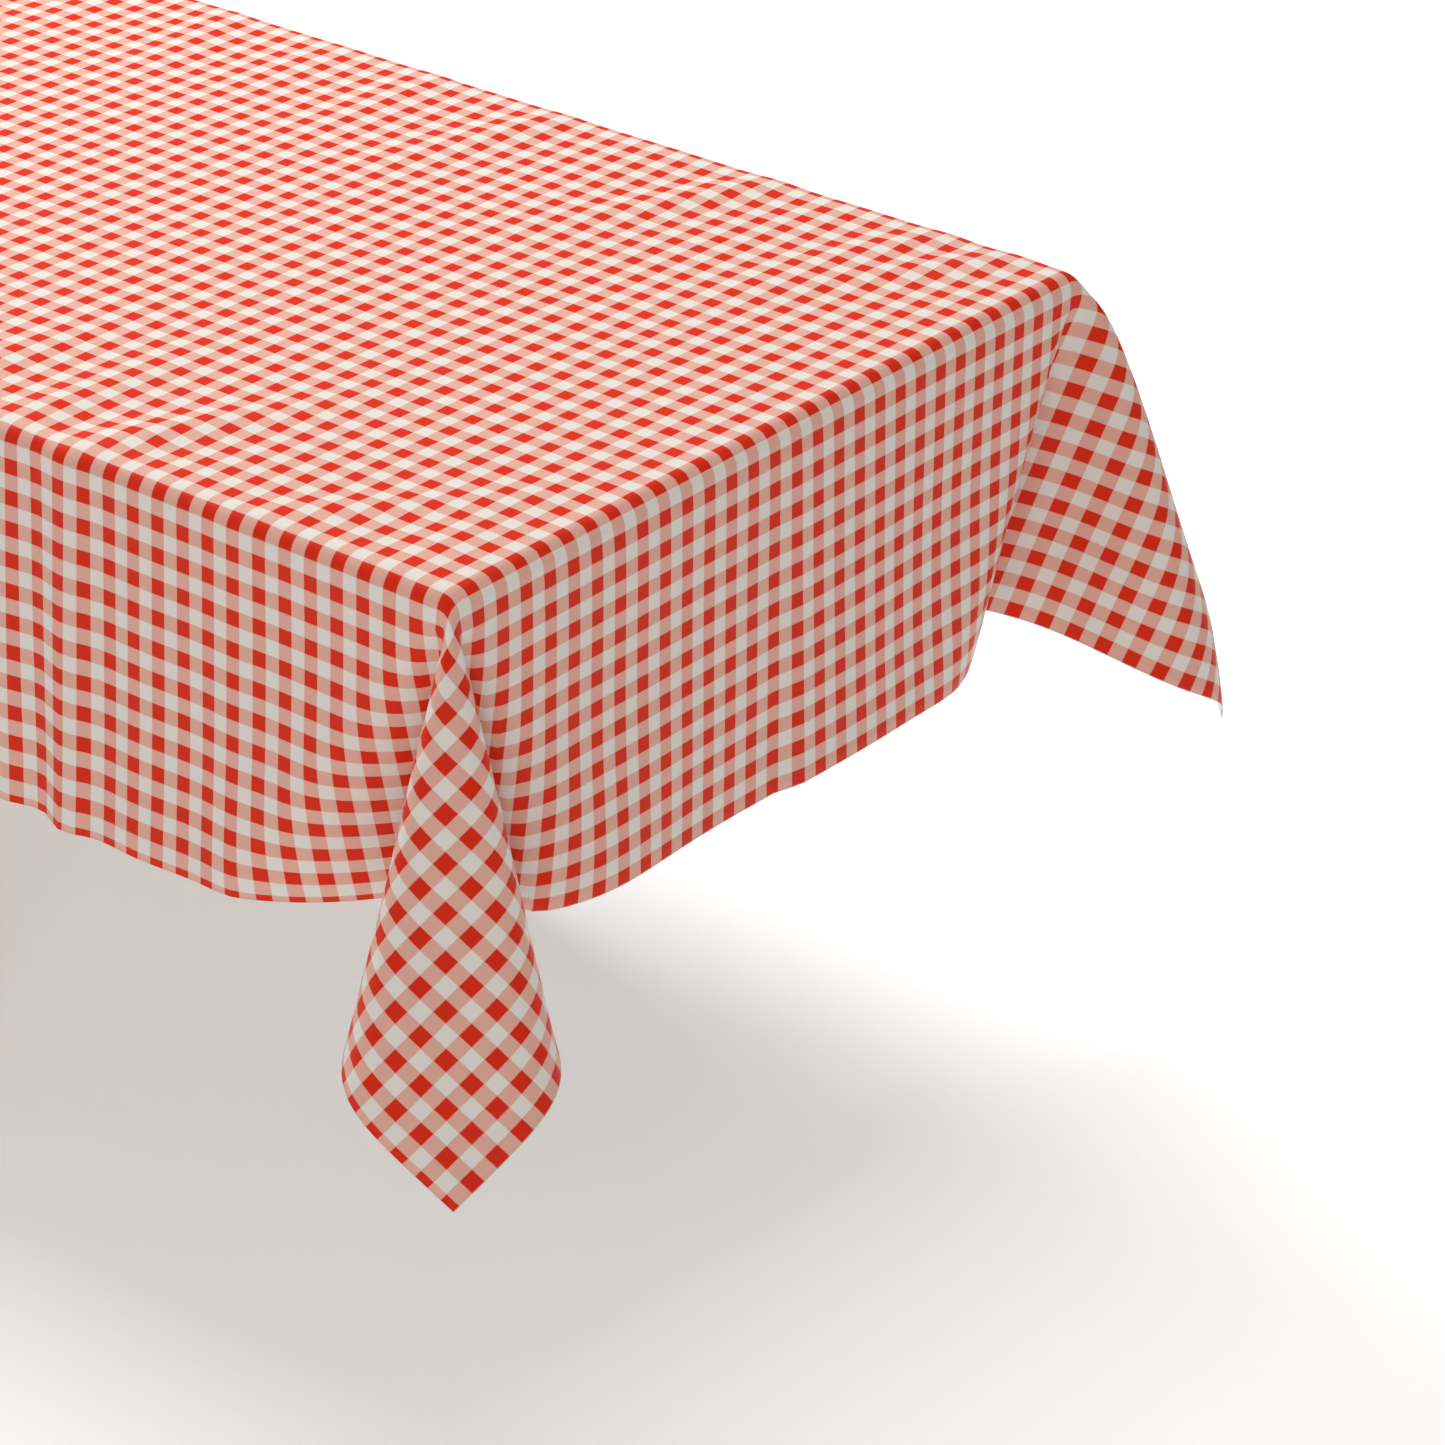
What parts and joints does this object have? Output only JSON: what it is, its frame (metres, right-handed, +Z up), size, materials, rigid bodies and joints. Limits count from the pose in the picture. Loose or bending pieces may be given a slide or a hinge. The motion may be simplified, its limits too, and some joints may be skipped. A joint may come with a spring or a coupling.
{
  "type": "table with draped tablecloth",
  "caption": "Long rectangular table dressed with a draped gingham oilcloth that falls over all sides and hangs in a pointed fold at each corner.",
  "frame": {"origin": "on the floor under the middle of the table", "axes": "+X along the long side, +Y across the table, +Z up"},
  "size_m": [2.6542, 1.0202, 0.7412],
  "materials": {
    "cloth_print": "printed check, wipe-clean satin coating",
    "board_wood": "oiled",
    "lipping_wood": "oiled",
    "frame_wood": "satin lacquer",
    "dowel_wood": "bare",
    "fastener_steel": "zinc plated",
    "glide_plastic": "moulded"
  },
  "bodies": {
    "table": {"batten_left": "frame_wood", "batten_right": "frame_wood", "batten_screw_1": "fastener_steel", "batten_screw_2": "fastener_steel", "batten_screw_3": "fastener_steel", "batten_screw_4": "fastener_steel", "batten_screw_5": "fastener_steel", "batten_screw_6": "fastener_steel", "beam": "frame_wood", "bearer_left": "frame_wood", "bearer_right": "frame_wood", "bearer_screw_1": "fastener_steel", "bearer_screw_2": "fastener_steel", "bearer_screw_3": "fastener_steel", "bearer_screw_4": "fastener_steel", "bearer_screw_5": "fastener_steel", "bearer_screw_6": "fastener_steel", "bearer_screw_7": "fastener_steel", "bearer_screw_8": "fastener_steel", "board": "board_wood", "frame_bolt_1": "fastener_steel", "frame_bolt_2": "fastener_steel", "frame_bolt_3": "fastener_steel", "frame_bolt_4": "fastener_steel", "frame_bolt_5": "fastener_steel", "frame_bolt_6": "fastener_steel", "glide_1": "glide_plastic", "glide_2": "glide_plastic", "glide_3": "glide_plastic", "glide_4": "glide_plastic", "leg_back_left": "frame_wood", "leg_back_right": "frame_wood", "leg_dowel_1": "dowel_wood", "leg_dowel_2": "dowel_wood", "leg_dowel_3": "dowel_wood", "leg_dowel_4": "dowel_wood", "leg_dowel_5": "dowel_wood", "leg_dowel_6": "dowel_wood", "leg_dowel_7": "dowel_wood", "leg_dowel_8": "dowel_wood", "leg_front_left": "frame_wood", "leg_front_right": "frame_wood", "lipping_back": "lipping_wood", "lipping_front": "lipping_wood", "lipping_left": "lipping_wood", "lipping_right": "lipping_wood", "rail_back": "frame_wood", "rail_front": "frame_wood", "stretcher_left": "frame_wood", "stretcher_right": "frame_wood"},
    "cloth": {"tablecloth": "cloth_print"}
  },
  "joints": [
    {"name": "cloth_lift", "type": "slide", "parent": "table", "child": "cloth", "axis": [0, 0, 1], "range_m": [0, 0.48]}
  ]
}
